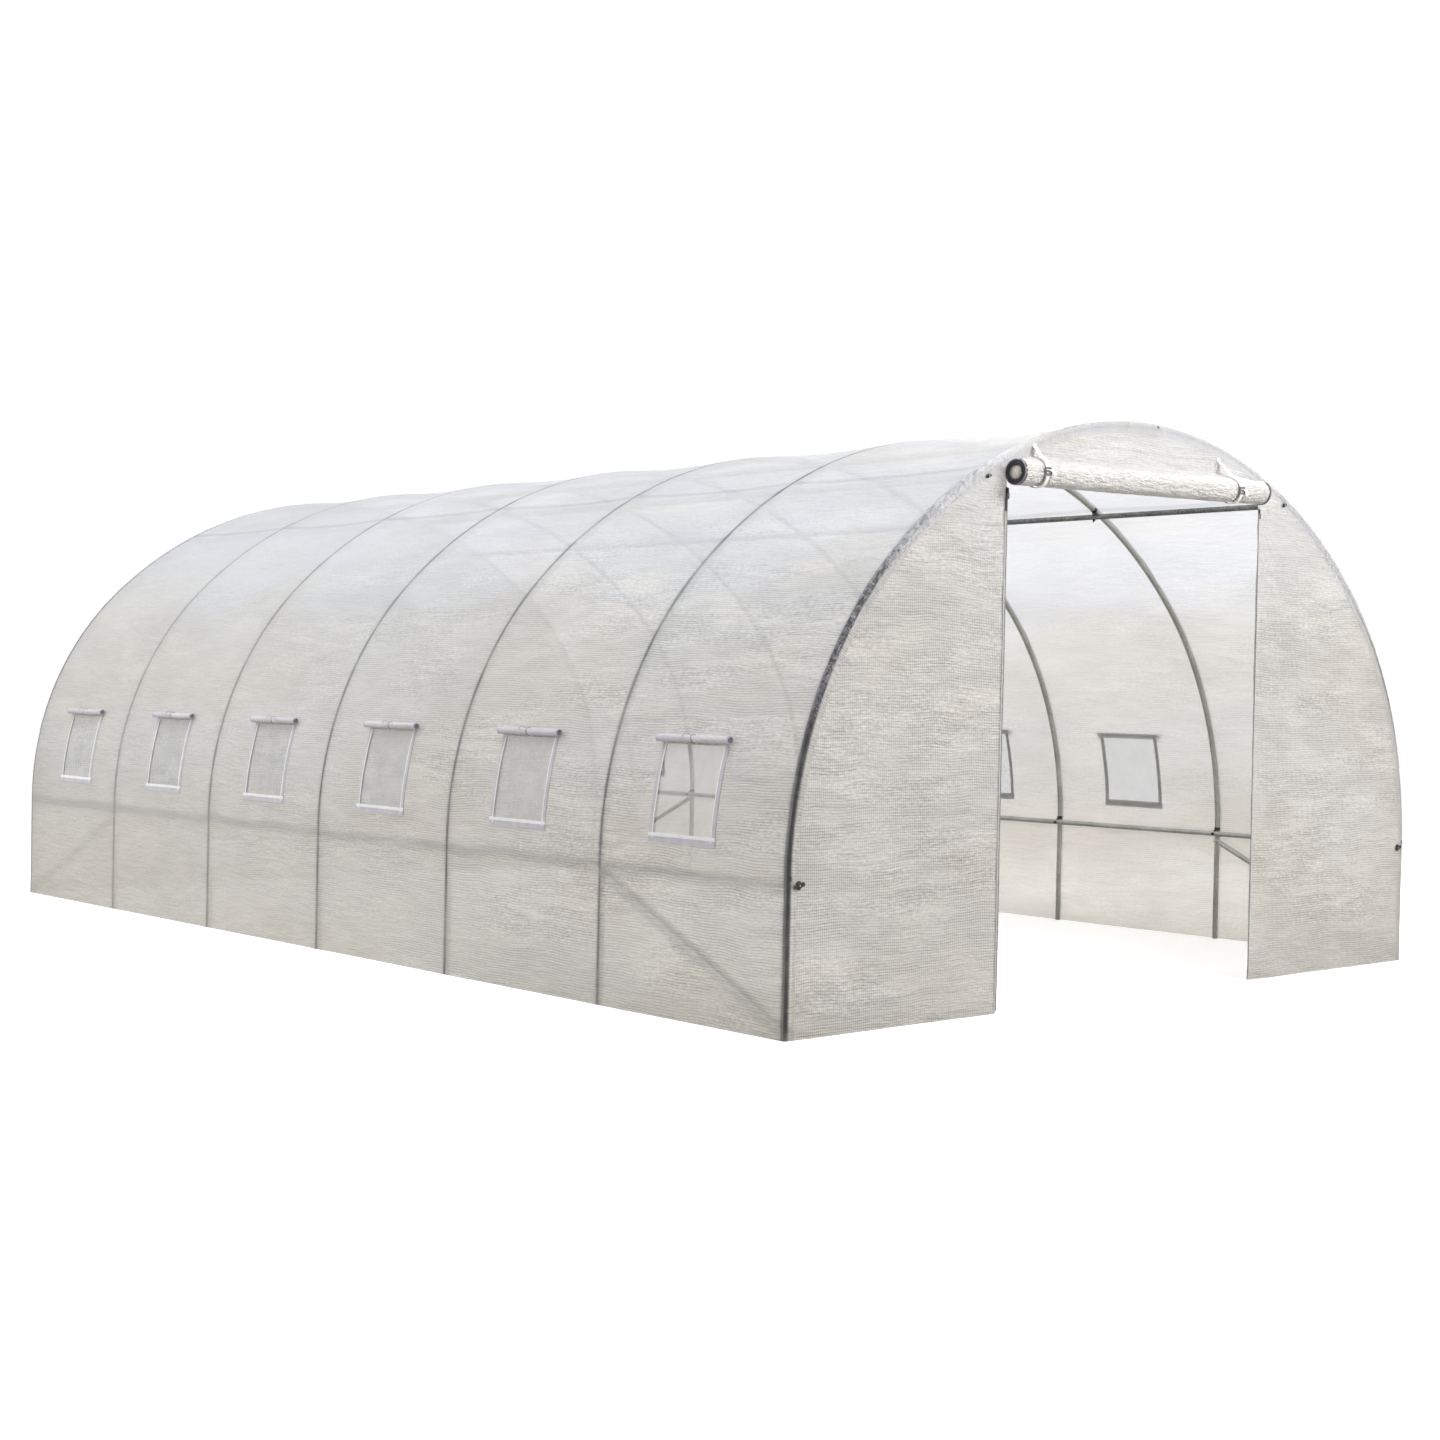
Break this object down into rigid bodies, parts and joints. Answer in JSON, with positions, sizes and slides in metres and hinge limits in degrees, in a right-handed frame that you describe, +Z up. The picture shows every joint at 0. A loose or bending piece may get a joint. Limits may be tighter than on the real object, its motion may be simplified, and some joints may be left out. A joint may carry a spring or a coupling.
{
  "type": "polytunnel greenhouse",
  "caption": "Walk-in polytunnel greenhouse: galvanised tube hoops and purlins under a reinforced film cover, with a roll-up doorway and netted side windows.",
  "frame": {"origin": "middle of the object's box, at ground level under it", "axes": "+Z up; +Y along the tunnel from the doorway end to the closed end; +X to the right as seen from the doorway end"},
  "size_m": [4, 6.1402, 2.3],
  "materials": {
    "galvanised_steel": "galvanised, satin",
    "reinforced_film": "translucent white film with a woven grid",
    "strap_webbing": "white webbing",
    "zip_tape": "black zip tape",
    "window_net": "fine white insect net",
    "window_flap": "pale grey film, satin"
  },
  "bodies": {
    "root": {"back_wall": "reinforced_film", "corner_braces_left": "galvanised_steel", "corner_braces_right": "galvanised_steel", "door_roll": "reinforced_film", "door_straps": "strap_webbing", "door_zips": "zip_tape", "front_wall_header": "reinforced_film", "front_wall_left": "reinforced_film", "front_wall_right": "reinforced_film", "hoop_1": "galvanised_steel", "hoop_2": "galvanised_steel", "hoop_3": "galvanised_steel", "hoop_4": "galvanised_steel", "hoop_5": "galvanised_steel", "hoop_6": "galvanised_steel", "hoop_7": "galvanised_steel", "lower_purlin_left": "galvanised_steel", "lower_purlin_right": "galvanised_steel", "ridge_purlin": "galvanised_steel", "roof_cover_1": "reinforced_film", "roof_cover_2": "reinforced_film", "roof_cover_3": "reinforced_film", "roof_cover_4": "reinforced_film", "roof_cover_5": "reinforced_film", "roof_cover_6": "reinforced_film", "side_cover_left_1": "reinforced_film", "side_cover_left_2": "reinforced_film", "side_cover_left_3": "reinforced_film", "side_cover_left_4": "reinforced_film", "side_cover_left_5": "reinforced_film", "side_cover_left_6": "reinforced_film", "side_cover_right_1": "reinforced_film", "side_cover_right_2": "reinforced_film", "side_cover_right_3": "reinforced_film", "side_cover_right_4": "reinforced_film", "side_cover_right_5": "reinforced_film", "side_cover_right_6": "reinforced_film", "upper_purlin_left": "galvanised_steel", "upper_purlin_right": "galvanised_steel", "window_nets_left": "window_net", "window_nets_right": "window_net", "window_rolls_left": "window_flap", "window_rolls_right": "window_flap"}
  },
  "joints": []
}
